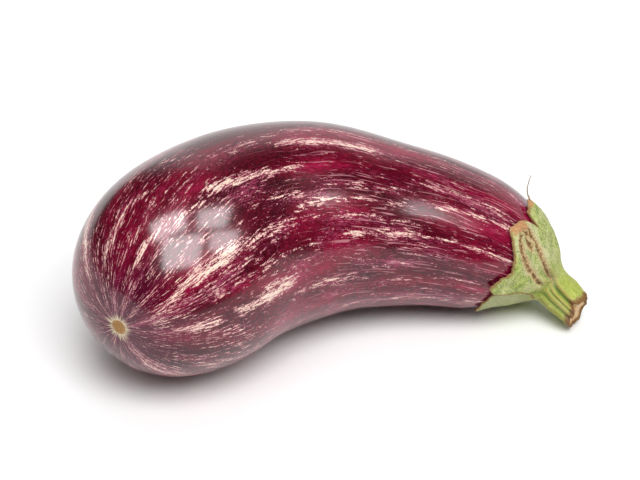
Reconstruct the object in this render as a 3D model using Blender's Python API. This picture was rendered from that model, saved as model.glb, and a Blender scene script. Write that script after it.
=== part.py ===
"""A striped eggplant lying on its side: the fruit, its calyx, its stalk and one dry fibre.

Metres, +Z up. +X runs along the chord from the blossom end to the stalk end. The origin is
under the middle of the whole thing, on the surface that it lies on.
"""
import math

import bmesh
import bpy
import numpy as np
from mathutils import Vector

MM = 0.001
UP = Vector((0.0, 0.0, 1.0))

# The spine of the fruit seen from above: a cubic Bezier from the blossom end to the neck, mm
BLOSSOM_END = (-122.0, -90.5)
NECK_END = (64.5, -89.5)
BLOSSOM_HEADING = 36.0
NECK_HEADING = -35.5
BLOSSOM_HANDLE = 55.0
NECK_HANDLE = 136.0

# Radius of the flesh, mm, at shares of the spine's length, and the round ends
BODY_RADII = ((0.0, 44.0), (0.26, 44.0), (0.41, 43.0), (0.54, 40.2), (0.67, 34.7),
              (0.79, 30.4), (0.91, 25.7), (1.0, 20.3))
BLOSSOM_CAP = 58.0
NECK_CAP = 34.0
CAP_FULLNESS = 2.2

# How it lies, mm: a belly pressed flat, a neck just clear of the surface, a nodding end
FLAT_DEPTH = 0.35
NECK_LIFT = 3.5
LIFT_SPAN = (0.36, 0.75)
END_NOD = 7.0
NOD_SPAN = (0.72, 1.0)
RESTING_SHARE = 0.34

# The calyx, mm: a shell over the neck with six pointed sepals and webs between them
SKIN_GAP = 0.35
CALYX_THICKNESS = 2.0
SEPAL_EDGE_THICKNESS = 1.1
# Each sepal: the direction of its tip round the spine in degrees, the tip's reach from the
# neck's end, then the direction and the reach of the notch after it
SEPALS = ((-41.0, 37.0, -9.0, 33.5), (-1.0, 37.0, 24.0, 31.5), (60.0, 38.5, 78.0, 26.5),
          (96.0, 35.5, 132.0, 26.0), (165.0, 34.0, 200.0, 26.0), (238.0, 34.0, 285.0, 27.0))
SEPAL_POINTEDNESS = 1.7

# The stalk, mm: ribbed and short, turned and nodding further than the neck
STALK_HEADING = -66.0
STALK_DROOP = 24.0
STALK_ASIDE = (3.1, -1.0)
STALK_LENGTH = 10.8
STALK_RADIUS = 7.5
STALK_FOOT_RADIUS = 8.9
STALK_FLARE = 3.0
STALK_RIBS = 5
STALK_RIB_HEIGHT = 0.5
RECEPTACLE_RISE = 4.4
RECEPTACLE_SPREAD = 1.25
PIECE_GAP = 0.3

# The dry fibre, mm, that stands up from the tip of one sepal
FIBRE_SEPAL = 3
FIBRE_RADIUS = 0.3
FIBRE_RISE = 12.0
FIBRE_LEAN = (0.0, 0.0, 1.0)
FIBRE_SETBACK = 2.0
FIBRE_SWAY = 0.6
FIBRE_POINTS = 9

# How finely the surfaces are divided
SPINE_SAMPLES = 400
FRUIT_SIDES = 40
FRUIT_RINGS = 44
CALYX_COLUMNS = 72
CALYX_ROWS = 8
STALK_SIDES = 30
STALK_ROWS = 6


def clear_scene():
    for thing in list(bpy.data.objects):
        bpy.data.objects.remove(thing, do_unlink=True)


def make_material(name, colour, roughness):
    material = bpy.data.materials.new(name)
    material.use_nodes = True
    shader = material.node_tree.nodes["Principled BSDF"]
    shader.inputs["Base Color"].default_value = (*colour, 1.0)
    shader.inputs["Roughness"].default_value = roughness
    shader.inputs["Metallic"].default_value = 0.0
    return material


def add_object(name, shape, material):
    """Turn a closed bmesh into a smooth-shaded object with one material, its faces outward."""
    bmesh.ops.recalc_face_normals(shape, faces=shape.faces)
    if shape.calc_volume(signed=True) < 0.0:
        bmesh.ops.reverse_faces(shape, faces=shape.faces)
    mesh = bpy.data.meshes.new(name)
    shape.to_mesh(mesh)
    shape.free()
    mesh.materials.append(material)
    mesh.shade_smooth()
    thing = bpy.data.objects.new(name, mesh)
    bpy.context.collection.objects.link(thing)
    return thing


def ease(value):
    """0 below 0, 1 above 1, and an even S between them."""
    value = np.clip(value, 0.0, 1.0)
    return value * value * (3.0 - 2.0 * value)


def through(stations, at):
    """Smooth curve through (place, value) stations, read at the places in at."""
    place, value = np.array(stations, dtype=float).T
    slope = np.gradient(value, place)
    left = np.clip(np.searchsorted(place, at) - 1, 0, len(place) - 2)
    gap = place[left + 1] - place[left]
    t = (at - place[left]) / gap
    start = (1 + 2 * t) * (1 - t) ** 2 * value[left] + t * (1 - t) ** 2 * gap * slope[left]
    end = t * t * (3 - 2 * t) * value[left + 1] + t * t * (t - 1) * gap * slope[left + 1]
    return start + end


def heading(degrees):
    return np.array([math.cos(math.radians(degrees)), math.sin(math.radians(degrees))])


class Spine:
    """The bent middle line of the fruit and the flesh round it. Lengths are in mm."""

    def __init__(self):
        start = np.array(BLOSSOM_END)
        end = np.array(NECK_END)
        leaving = start + heading(BLOSSOM_HEADING) * BLOSSOM_HANDLE
        arriving = end - heading(NECK_HEADING) * NECK_HANDLE
        t = np.linspace(0.0, 1.0, SPINE_SAMPLES)[:, None]
        plan = ((1 - t) ** 3 * start + 3 * (1 - t) ** 2 * t * leaving
                + 3 * (1 - t) * t ** 2 * arriving + t ** 3 * end)
        steps = np.linalg.norm(np.diff(plan, axis=0), axis=1)
        self.at = np.concatenate([[0.0], np.cumsum(steps)])
        self.length = self.at[-1]
        share = self.at / self.length
        lift = NECK_LIFT * ease((share - LIFT_SPAN[0]) / (LIFT_SPAN[1] - LIFT_SPAN[0]))
        nod = END_NOD * np.clip((share - NOD_SPAN[0]) / (NOD_SPAN[1] - NOD_SPAN[0]), 0.0, 1.0) ** 2
        height = through(BODY_RADII, share) - FLAT_DEPTH + lift - nod
        self.points = np.column_stack([plan, height])
        self.tangents = np.gradient(self.points, self.at, axis=0)

    def radius(self, at):
        """Radius of the fruit at a distance along the spine, round ends included."""
        flesh = through(BODY_RADII, at / self.length)
        for cap, distance in ((BLOSSOM_CAP, at), (NECK_CAP, self.length - at)):
            inward = np.clip(1.0 - distance / cap, 0.0, 1.0)
            flesh = flesh * (1.0 - inward ** CAP_FULLNESS) ** (1.0 / CAP_FULLNESS)
        return flesh

    def frame(self, at):
        """The spine's point, its direction, and the two directions across it, level and up."""
        point = Vector([np.interp(at, self.at, self.points[:, axis]) for axis in range(3)])
        along = Vector([np.interp(at, self.at, self.tangents[:, axis]) for axis in range(3)])
        along.normalize()
        level = along.cross(UP).normalized()
        return point, along, level, level.cross(along)

    def skin(self, at, turn):
        """Point on the skin at a distance along the spine and a turn round it, in radians."""
        point, _, level, up = self.frame(at)
        return point + (level * math.cos(turn) + up * math.sin(turn)) * float(self.radius(at))

    def outward(self, at, turn):
        """Direction that the skin faces there."""
        place = self.skin(at, turn)
        back = self.skin(at - PIECE_GAP, turn) - place
        round_it = self.skin(at, turn + math.radians(1.0)) - place
        return round_it.cross(back).normalized()


def close_tube(shape, loops):
    """Join equal loops of vertices into a tube and close both of its ends."""
    for lower, upper in zip(loops, loops[1:]):
        for i, corner in enumerate(lower):
            after = (i + 1) % len(lower)
            shape.faces.new((corner, lower[after], upper[after], upper[i]))
    shape.faces.new(loops[0])
    shape.faces.new(loops[-1])


def make_fruit(spine):
    """One solid of rings round the spine, with the belly cut flat where it rests."""
    shape = bmesh.new()
    loops = []
    swing = np.linspace(0.0, math.pi, FRUIT_RINGS + 2)[1:-1]
    for at in (1.0 - np.cos(swing)) / 2.0 * spine.length:
        turns = [math.tau * side / FRUIT_SIDES for side in range(FRUIT_SIDES)]
        loops.append([shape.verts.new(spine.skin(at, turn) * MM) for turn in turns])
    close_tube(shape, loops)
    cut = bmesh.ops.bisect_plane(shape, geom=shape.verts[:] + shape.edges[:] + shape.faces[:],
                                 plane_co=(0, 0, 0), plane_no=(0, 0, -1), clear_outer=True)
    rim = [part for part in cut["geom_cut"] if isinstance(part, bmesh.types.BMEdge)]
    bmesh.ops.holes_fill(shape, edges=rim)
    return add_object("fruit", shape, make_material("aubergine_skin", (0.13, 0.01, 0.04), 0.2))


def sepal_reach(angle):
    """How far the calyx reaches from the neck's end in a direction, in mm."""
    corners = []
    for tip, reach, notch, notch_reach in SEPALS:
        corners += [(tip, reach), (notch, notch_reach)]
    corners.append((corners[0][0] + 360.0, corners[0][1]))
    angle = (angle - corners[0][0]) % 360.0 + corners[0][0]
    for (here, reach), (after, next_reach) in zip(corners, corners[1:]):
        if angle <= after:
            share = (angle - here) / (after - here)
            towards_tip = 1.0 - share if reach > next_reach else share
            notch_reach, tip_reach = sorted((reach, next_reach))
            return notch_reach + (tip_reach - notch_reach) * towards_tip ** SEPAL_POINTEDNESS
    return corners[-1][1]


def neck_skin(spine):
    """Lengths of skin from the neck's end, and the places along the spine that they reach."""
    places = np.linspace(spine.length, spine.length - 2 * NECK_CAP, SPINE_SAMPLES)
    steps = np.hypot(np.diff(places), np.diff(spine.radius(places)))
    return np.concatenate([[0.0], np.cumsum(steps)]), places


def stalk_foot(spine):
    """The middle of the receptacle's flat top, and the direction that the stalk grows in."""
    level = heading(STALK_HEADING) * math.cos(math.radians(STALK_DROOP))
    grow = Vector((level[0], level[1], -math.sin(math.radians(STALK_DROOP))))
    end, along, level, up = spine.frame(spine.length)
    aside = level * STALK_ASIDE[0] + up * STALK_ASIDE[1]
    return end + aside + along * (SKIN_GAP + CALYX_THICKNESS) + grow * RECEPTACLE_RISE, grow


def make_calyx(spine):
    """A closed shell: a flat receptacle, the outer side, the sepals' edge and the skin side."""
    shape = bmesh.new()
    foot, grow = stalk_foot(spine)
    end, along, level, up = spine.frame(spine.length)
    turns = [math.tau * column / CALYX_COLUMNS for column in range(CALYX_COLUMNS)]
    spokes = [level * math.cos(turn) + up * math.sin(turn) for turn in turns]
    across = [(spoke - grow * spoke.dot(grow)).normalized() for spoke in spokes]
    seat = [shape.verts.new((foot + spoke * STALK_FOOT_RADIUS) * MM) for spoke in across]
    hidden = end + along * SKIN_GAP
    under = [shape.verts.new((hidden + spoke * STALK_FOOT_RADIUS / 2) * MM) for spoke in spokes]
    lengths, places = neck_skin(spine)
    first = STALK_FOOT_RADIUS * RECEPTACLE_SPREAD
    outer_rows = []
    inner_rows = []
    for row in range(CALYX_ROWS):
        share = row / (CALYX_ROWS - 1)
        thickness = CALYX_THICKNESS + (SEPAL_EDGE_THICKNESS - CALYX_THICKNESS) * share
        outer = []
        inner = []
        for turn in turns:
            reach = first + (sepal_reach(math.degrees(turn)) - first) * share
            at = float(np.interp(reach, lengths, places))
            outward = spine.outward(at, turn)
            skin_side = spine.skin(at, turn) + outward * SKIN_GAP
            inner.append(shape.verts.new(skin_side * MM))
            outer.append(shape.verts.new((skin_side + outward * thickness) * MM))
        outer_rows.append(outer)
        inner_rows.append(inner)
    close_tube(shape, [seat] + outer_rows + inner_rows[::-1] + [under])
    return add_object("calyx", shape, make_material("calyx_green", (0.25, 0.4, 0.08), 0.6))


def make_stalk(spine):
    """A short ribbed stem, a little flared at its foot, with a flat cut at its end."""
    shape = bmesh.new()
    foot, grow = stalk_foot(spine)
    side = (UP - grow * UP.dot(grow)).normalized()
    other = grow.cross(side)
    loops = []
    for row in range(STALK_ROWS + 1):
        share = row / STALK_ROWS
        flare = (STALK_FOOT_RADIUS - STALK_RADIUS) * (1.0 - share) ** STALK_FLARE
        centre = foot + grow * (PIECE_GAP + STALK_LENGTH * share)
        loop = []
        for step in range(STALK_SIDES):
            turn = math.tau * step / STALK_SIDES
            groove = STALK_RIB_HEIGHT * (1.0 - math.cos(STALK_RIBS * turn))
            spoke = side * math.cos(turn) + other * math.sin(turn)
            loop.append(shape.verts.new((centre + spoke * (STALK_RADIUS + flare - groove)) * MM))
        loops.append(loop)
    close_tube(shape, loops)
    return add_object("stalk", shape, make_material("stalk_green", (0.32, 0.42, 0.1), 0.55))


def make_fibre(spine):
    """A hair of dry sepal edge that stands up from a sepal's tip."""
    tip, reach = SEPALS[FIBRE_SEPAL][:2]
    lengths, places = neck_skin(spine)
    at = float(np.interp(reach - FIBRE_SETBACK, lengths, places))
    outward = spine.outward(at, math.radians(tip))
    clear = SKIN_GAP + SEPAL_EDGE_THICKNESS + 1.5 * PIECE_GAP + FIBRE_RADIUS
    start = spine.skin(at, math.radians(tip)) + outward * clear
    curve = bpy.data.curves.new("sepal_fibre", "CURVE")
    curve.dimensions = "3D"
    curve.bevel_depth = FIBRE_RADIUS * MM
    curve.bevel_resolution = 2
    curve.use_fill_caps = True
    route = curve.splines.new("POLY")
    route.points.add(FIBRE_POINTS - 1)
    for i, point in enumerate(route.points):
        share = i / (FIBRE_POINTS - 1)
        sway = outward * (-FIBRE_SWAY * math.sin(share * math.pi))
        place = start + Vector(FIBRE_LEAN) * (FIBRE_RISE * share) + sway
        point.co = (*(place * MM), 1.0)
    curve.materials.append(make_material("dry_fibre", (0.45, 0.36, 0.22), 0.8))
    thing = bpy.data.objects.new("sepal_fibre", curve)
    bpy.context.collection.objects.link(thing)
    return thing


def stand_on_origin(things):
    """Slide all of them together until their box stands on the origin."""
    bpy.context.view_layer.update()
    corners = [thing.matrix_world @ Vector(corner) for thing in things for corner in thing.bound_box]
    low = Vector([min(corner[axis] for corner in corners) for axis in range(3)])
    high = Vector([max(corner[axis] for corner in corners) for axis in range(3)])
    shift = Vector((-(low.x + high.x) / 2, -(low.y + high.y) / 2, -low.z))
    for thing in things:
        thing.location = shift
    bpy.context.view_layer.update()
    return shift


def main():
    clear_scene()
    spine = Spine()
    pieces = [make_fruit(spine), make_calyx(spine), make_stalk(spine), make_fibre(spine)]
    shift = stand_on_origin(pieces)
    spot = spine.frame(spine.length * RESTING_SHARE)[0] * MM + shift
    print(f"spine {spine.length:.1f} mm, resting spot at x {spot.x:.4f}, y {spot.y:.4f}")
    for piece in pieces:
        low = min((piece.matrix_world @ Vector(corner)).z for corner in piece.bound_box)
        print(f"{piece.name} is {low / MM:.2f} mm clear of the surface")


main()
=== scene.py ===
# %% [markdown]
# # A striped eggplant, lying on its side
# A real eggplant of this kind is a curved club of spongy flesh in a thin waxy skin, with a fleshy green
# calyx clasping its neck, a short ribbed stalk, and here one dry fibre standing off a sepal's tip.
# Fruit, calyx and stalk are shaped straight along the X axis first, and then bent along one curve.
# A straight piece is easy to shape ring by ring, and one shared bend keeps the pieces together.

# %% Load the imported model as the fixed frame
import math
import bpy
import numpy as np
from mathutils import Matrix, Vector
from mathutils.geometry import interpolate_bezier
from mathutils.noise import fractal


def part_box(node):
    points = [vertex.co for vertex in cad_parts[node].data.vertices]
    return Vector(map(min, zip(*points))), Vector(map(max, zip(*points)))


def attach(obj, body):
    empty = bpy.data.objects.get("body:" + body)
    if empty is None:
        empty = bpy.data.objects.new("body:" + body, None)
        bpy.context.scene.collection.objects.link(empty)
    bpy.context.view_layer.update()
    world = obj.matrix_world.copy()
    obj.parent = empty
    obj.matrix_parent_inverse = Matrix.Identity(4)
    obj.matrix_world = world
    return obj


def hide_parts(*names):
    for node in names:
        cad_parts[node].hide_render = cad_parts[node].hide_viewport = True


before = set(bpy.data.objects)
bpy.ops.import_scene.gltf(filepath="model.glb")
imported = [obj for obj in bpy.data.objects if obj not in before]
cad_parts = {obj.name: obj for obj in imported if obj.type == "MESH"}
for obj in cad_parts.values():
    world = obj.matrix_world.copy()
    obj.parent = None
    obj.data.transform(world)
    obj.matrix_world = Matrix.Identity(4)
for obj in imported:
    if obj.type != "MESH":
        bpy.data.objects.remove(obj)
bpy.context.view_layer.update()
MM = 0.001
fruit_low, fruit_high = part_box("fruit")
belly = (fruit_high.z - fruit_low.z) / 2
print("belly radius", round(belly / MM, 1), "mm")

# %% [markdown]
# ## Small helpers
# Colours are written as the sRGB hex values that a painter would pick, and one function turns them to
# the linear light that the renderer works in. One function adds a shader node with its settings and its
# links, because a material is a chain of nodes and that is the step that repeats.


# %% Colours and shader nodes
def paint(code):
    """The linear colour for an sRGB hex value such as #8a2346."""
    shares = [int(code[i:i + 2], 16) / 255 for i in (1, 3, 5)]
    return [c / 12.92 if c <= 0.04045 else ((c + 0.055) / 1.055) ** 2.4 for c in shares] + [1.0]


def add_node(tree, kind, settings=None, **links):
    """Add a node, set its properties, and fill or link its inputs by name or by number."""
    node = tree.nodes.new("ShaderNode" + kind)
    for name, value in (settings or {}).items():
        setattr(node, name, value)
    for name, value in links.items():
        key = int(name[1:]) if name[0] == "_" and name[1:].isdigit() else name.replace("_", " ")
        socket = node.inputs[key]
        if isinstance(value, bpy.types.NodeSocket):
            tree.links.new(value, socket)
        else:
            socket.default_value = value
    return node


def new_material(name):
    """An empty material with a Principled shader on its output, both returned with the tree."""
    material = bpy.data.materials.new(name)
    material.use_nodes = True
    tree = material.node_tree
    return material, tree, tree.nodes["Principled BSDF"]


def ramp(tree, value, stops):
    """A colour ramp through (place, hex colour) stops."""
    node = add_node(tree, "ValToRGB", Fac=value)
    band = node.color_ramp
    while len(band.elements) < len(stops):
        band.elements.new(0.5)
    for element, (place, code) in zip(band.elements, stops):
        element.position = place
        element.color = paint(code)
    return node.outputs["Color"]


def blend(tree, share, first, second):
    """Mix two colours by a share, which may be a number or another node's output."""
    node = add_node(tree, "Mix", {"data_type": "RGBA"}, _0=share, _6=first, _7=second)
    return node.outputs[2]


def coat(tree, share, colour, code):
    """Paint one hex colour over a colour, by a share."""
    return blend(tree, share, colour, paint(code))


def step_between(tree, value, low, high, smooth=True):
    """0 below low, 1 above high, and an even slope between them."""
    kind = {"interpolation_type": "SMOOTHSTEP" if smooth else "LINEAR"}
    return add_node(tree, "MapRange", kind, Value=value, From_Min=low, From_Max=high).outputs[0]


def times(tree, first, second, clamp=False):
    """first * second, cut off at 1 if clamp is on."""
    node = add_node(tree, "Math", {"operation": "MULTIPLY", "use_clamp": clamp}, _0=first, _1=second)
    return node.outputs[0]


def weighted(tree, value, weight, base):
    """base + weight * value."""
    node = add_node(tree, "Math", {"operation": "MULTIPLY_ADD"}, _0=value, _1=weight, _2=base)
    return node.outputs[0]


def attribute(tree, name, output="Fac"):
    """What a piece's vertices keep under a name."""
    return add_node(tree, "Attribute", {"attribute_name": name}).outputs[output]


def noise(tree, place, size, detail=2.0, roughness=0.5, output="Fac"):
    """Noise whose lumps measure about size, in metres: one number, or three for drawn-out lumps."""
    sides = (size, size, size) if isinstance(size, float) else size
    scale = [1.0 / side for side in sides]
    spread = add_node(tree, "Mapping", Vector=place, Scale=scale).outputs[0]
    node = add_node(tree, "TexNoise", Vector=spread, Scale=1.0, Detail=detail, Roughness=roughness)
    return node.outputs[output]


# %% [markdown]
# ## The fruit's lines
# The spine is what a grower sees from above: it leaves the blossom end one way and reaches the neck
# another, so a Bezier with two handles draws it. The flesh round it is widest at a quarter of its
# length and thins towards the neck. The fruit lies on its belly, and its neck stays just clear of the
# surface and nods at the end. All of it is measured in shares of the fruit's own box.

# %% The spine seen from above
def in_plan(across, along):
    """A point of the fruit's box seen from above, from its shares across and along."""
    return Vector((fruit_low.x + (fruit_high.x - fruit_low.x) * across,
                   fruit_low.y + (fruit_high.y - fruit_low.y) * along, 0.0))


def towards(degrees):
    """The level direction at an angle round from the X axis."""
    return Vector((math.cos(math.radians(degrees)), math.sin(math.radians(degrees)), 0.0))


BLOSSOM_HEADING = 36.0
NECK_HEADING = -35.5
blossom_end = in_plan(0.0435, 0.1545)
neck_end = in_plan(0.978, 0.1635)
plan = interpolate_bezier(blossom_end, blossom_end + towards(BLOSSOM_HEADING) * belly * 1.25,
                          neck_end - towards(NECK_HEADING) * belly * 3.1, neck_end, 400)
plan = np.array([point[:] for point in plan])
travelled = np.concatenate([[0.0], np.cumsum(np.linalg.norm(np.diff(plan, axis=0), axis=1))])
spine_length = travelled[-1]
print("spine", round(spine_length / MM, 1), "mm along the bend")


# %% The flesh round the spine
def ease(value):
    """0 below 0, 1 above 1, and an even S between them."""
    value = np.clip(value, 0.0, 1.0)
    return value * value * (3.0 - 2.0 * value)


def through(stations, at):
    """Smooth curve through (place, value) stations, read at the places in at."""
    place, value = np.array(stations, dtype=float).T
    slope = np.gradient(value, place)
    left = np.clip(np.searchsorted(place, at) - 1, 0, len(place) - 2)
    gap = place[left + 1] - place[left]
    t = (at - place[left]) / gap
    start = (1 + 2 * t) * (1 - t) ** 2 * value[left] + t * (1 - t) ** 2 * gap * slope[left]
    end = t * t * (3 - 2 * t) * value[left + 1] + t * t * (t - 1) * gap * slope[left + 1]
    return start + end


BODY_RADII = ((0.0, 1.0), (0.26, 1.0), (0.41, 0.977), (0.54, 0.914), (0.67, 0.789),
              (0.79, 0.691), (0.91, 0.584), (1.0, 0.461))
BLOSSOM_CAP = 58 * MM
NECK_CAP = 34 * MM
CAP_FULLNESS = 2.2
REST_DEPTH = 0.35 * MM
NECK_LIFT = 3.5 * MM
END_NOD = 7 * MM
full_radius = belly + 0.2 * MM


def flesh(at):
    """Radius of the flesh at a distance along the spine, before its ends are rounded."""
    return through(BODY_RADII, at / spine_length) * full_radius


def skin_radius(at):
    """Radius of the fruit at a distance along the spine, round ends included."""
    radius = flesh(at)
    for cap, distance in ((BLOSSOM_CAP, at), (NECK_CAP, spine_length - at)):
        inward = np.clip(1.0 - distance / cap, 0.0, 1.0)
        radius = radius * (1.0 - inward ** CAP_FULLNESS) ** (1.0 / CAP_FULLNESS)
    return radius


spine_share = travelled / spine_length
height = (flesh(travelled) - REST_DEPTH + NECK_LIFT * ease((spine_share - 0.36) / 0.39)
          - END_NOD * np.clip((spine_share - 0.72) / 0.28, 0.0, 1.0) ** 2)
spine = np.column_stack([plan[:, 0], plan[:, 1], height])
true_travelled = np.concatenate([[0.0], np.cumsum(np.linalg.norm(np.diff(spine, axis=0), axis=1))])
true_length = true_travelled[-1]


def seen_from_above(at):
    """The length seen from above of a true length along the spine."""
    return np.interp(at, true_travelled, travelled)


def radius_at(at):
    """Radius of the fruit at a true length along the spine."""
    return skin_radius(seen_from_above(at))


# %% [markdown]
# ## One curve to bend along
# A NURBS path takes the spine's points, and a Curve modifier will bend each straight piece along it.
# It runs straight on past the neck, because the calyx and the stalk stand beyond the fruit's end.

# %% The bending curve
SPINE_POINTS = 32
ONWARD_REACHES = (6, 14, 26)


def put_in_scene(name, data):
    """An object that shows the data."""
    placed = bpy.data.objects.new(name, data)
    bpy.context.collection.objects.link(placed)
    return placed


def draw_bending_curve():
    stops = np.linspace(0.0, true_length, SPINE_POINTS)
    sides = [np.interp(stops, true_travelled, spine[:, axis]) for axis in range(3)]
    points = [Vector(point) for point in zip(*sides)]
    onward = Vector(spine[-1] - spine[-6]).normalized()
    points += [points[-1] + onward * reach * MM for reach in ONWARD_REACHES]
    data = bpy.data.curves.new("bending_curve", "CURVE")
    data.dimensions = "3D"
    data.twist_mode = "Z_UP"
    data.resolution_u = 24
    path = data.splines.new("NURBS")
    path.points.add(len(points) - 1)
    for spot, point in zip(path.points, points):
        spot.co = (*point, 1.0)
    path.use_endpoint_u = True
    path.order_u = 4
    return put_in_scene("bending_curve", data)


bending_curve = draw_bending_curve()


def pick(piece):
    """Select one piece only, and make it the active one."""
    bpy.ops.object.select_all(action="DESELECT")
    piece.select_set(True)
    bpy.context.view_layer.objects.active = piece


def apply_modifiers(piece):
    """Apply all of a piece's modifiers, in order."""
    pick(piece)
    for modifier in list(piece.modifiers):
        bpy.ops.object.modifier_apply(modifier=modifier.name)


def bend(piece):
    """Bend a straight piece along the curve, where X is the distance along it."""
    modifier = piece.modifiers.new("bend", "CURVE")
    modifier.object = bending_curve
    modifier.deform_axis = "POS_X"
    apply_modifiers(piece)


def read_points(piece):
    co = np.zeros(len(piece.data.vertices) * 3)
    piece.data.vertices.foreach_get("co", co)
    return co.reshape(-1, 3)


def write_points(piece, points):
    piece.data.vertices.foreach_set("co", np.asarray(points, dtype=float).ravel())
    piece.data.update()


def store(piece, name, values):
    """Keep a number, or three, for each vertex of a piece, for its material to read."""
    values = np.asarray(values, dtype=float)
    kind = "FLOAT_VECTOR" if values.ndim == 2 else "FLOAT"
    attribute = piece.data.attributes.new(name, kind, "POINT")
    attribute.data.foreach_set("vector" if values.ndim == 2 else "value", values.ravel())


# %% [markdown]
# ## Turning a piece ring by ring
# A circle is added at the first station, and then extruded and resized to each next one, which is how
# a club is blocked out by hand. Both ends are drawn in to a tiny ring and filled with one face each.

# %% A tube of rings
def turn_tube(name, sides, stations):
    """A closed tube of rings along X through (distance, radius) stations, with a face on both ends."""
    bpy.ops.object.select_all(action="DESELECT")
    at, radius = stations[0]
    bpy.ops.mesh.primitive_circle_add(vertices=sides, radius=radius, location=(at, 0, 0),
                                      rotation=(0, math.pi / 2, 0))
    piece = bpy.context.active_object
    piece.name = name
    bpy.ops.object.transform_apply(location=True, rotation=True, scale=True)
    bpy.ops.object.mode_set(mode="EDIT")
    bpy.ops.mesh.select_all(action="SELECT")
    for next_at, next_radius in stations[1:]:
        bpy.ops.mesh.extrude_region_move(TRANSFORM_OT_translate={"value": (next_at - at, 0, 0)})
        grow = next_radius / radius
        bpy.ops.transform.resize(value=(1, grow, grow), center_override=(next_at, 0, 0))
        at, radius = next_at, next_radius
    bpy.ops.mesh.edge_face_add()
    bpy.ops.mesh.select_all(action="DESELECT")
    bpy.ops.mesh.select_non_manifold()
    bpy.ops.mesh.edge_face_add()
    bpy.ops.mesh.select_all(action="SELECT")
    bpy.ops.mesh.normals_make_consistent(inside=False)
    bpy.ops.object.mode_set(mode="OBJECT")
    return piece


# %% [markdown]
# ## The fruit
# The rings lie close together at the two ends, where the skin curves most, and closest at the
# blossom scar: a corky disc in a shallow dimple, with a raised rim 4.6 mm across, where the flower
# dropped off. One level of subdivision rounds the cage.

# %% Block out the club
SKIN_SIDES = 96
SCAR_RADIUS = 2.3 * MM
BODY_RINGS = 72


def blossom_stations():
    """Rings over the blossom end, from the scar outwards, by their distance from the pole."""
    rings = np.concatenate([np.arange(0.2, 3.6, 0.3), [4.0, 4.6, 5.4, 6.4, 7.6, 9.0, 10.6, 12.4]]) * MM
    fullness = 1.0 / CAP_FULLNESS
    depth = BLOSSOM_CAP * (1.0 - (1.0 - (rings / full_radius) ** CAP_FULLNESS) ** fullness)
    dimple = 0.9 * MM * np.exp(-(rings / (6.5 * MM)) ** 2)
    rim = 0.30 * MM * np.exp(-((rings - SCAR_RADIUS) / (0.35 * MM)) ** 2)
    cork = 0.22 * MM * ease((SCAR_RADIUS - rings) / (1.2 * MM))
    return list(zip(depth + dimple - rim - cork, rings))


first_rings = blossom_stations()
start = first_rings[-1][0] + 0.9 * MM
swing = np.linspace(0.0, math.pi, BODY_RINGS)
body = start + (1.0 - np.cos(swing)) / 2.0 * (true_length - 0.3 * MM - start)
body_rings = [(at, float(radius_at(at))) for at in body]
fruit = turn_tube("fruit_skin", SKIN_SIDES, first_rings + body_rings)
smoother = fruit.modifiers.new("smooth", "SUBSURF")
smoother.levels = smoother.render_levels = 1
apply_modifiers(fruit)
print("fruit blocked out with", len(fruit.data.polygons), "faces")

# %% [markdown]
# ## Places on the skin
# The streaks grew with the skin, so their pattern has to follow it: each vertex keeps how far it is
# from the blossom end along the skin, and its direction round the spine on a roller of one fixed
# radius. A pattern drawn there runs in along the meridians and closes in on the scar without a seam.

# %% Keep each vertex's place on the skin
ROLLER = 40 * MM


def skin_lengths(piece):
    """Length of skin from the blossom pole to each vertex of the straight fruit."""
    profile_at = np.concatenate([[0.0], np.linspace(0.0, true_length, 4000)])
    profile_radius = np.concatenate([[0.0], radius_at(profile_at[1:])])
    lengths = np.concatenate([[0.0], np.cumsum(np.hypot(np.diff(profile_at), np.diff(profile_radius)))])
    points = read_points(piece)
    radius = np.hypot(points[:, 1], points[:, 2])
    by_distance = np.interp(points[:, 0], profile_at, lengths)
    near_pole = points[:, 0] < start
    return np.where(near_pole, radius * 1.002, by_distance)


def round_spine(points):
    """Direction of each point round the spine, in radians: 0 faces level, a quarter turn is up."""
    return np.arctan2(points[:, 2], -points[:, 1])


straight = read_points(fruit)
along_skin = skin_lengths(fruit)
direction = round_spine(straight)
on_roller = np.column_stack([np.cos(direction), np.sin(direction)]) * ROLLER
store(fruit, "skin_place", np.column_stack([along_skin, on_roller]))
store(fruit, "from_scar", along_skin)
print("skin runs", round(along_skin.max() / MM), "mm from pole to pole")

# %% [markdown]
# ## Bands of pale streaks
# The pale streaks gather in bands. Each band is a soft patch on the skin: its direction round the
# spine, where it starts and ends along the spine, how wide it is, and how strong. The shader reads
# the strongest at each place and breaks it up into streaks.

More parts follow.
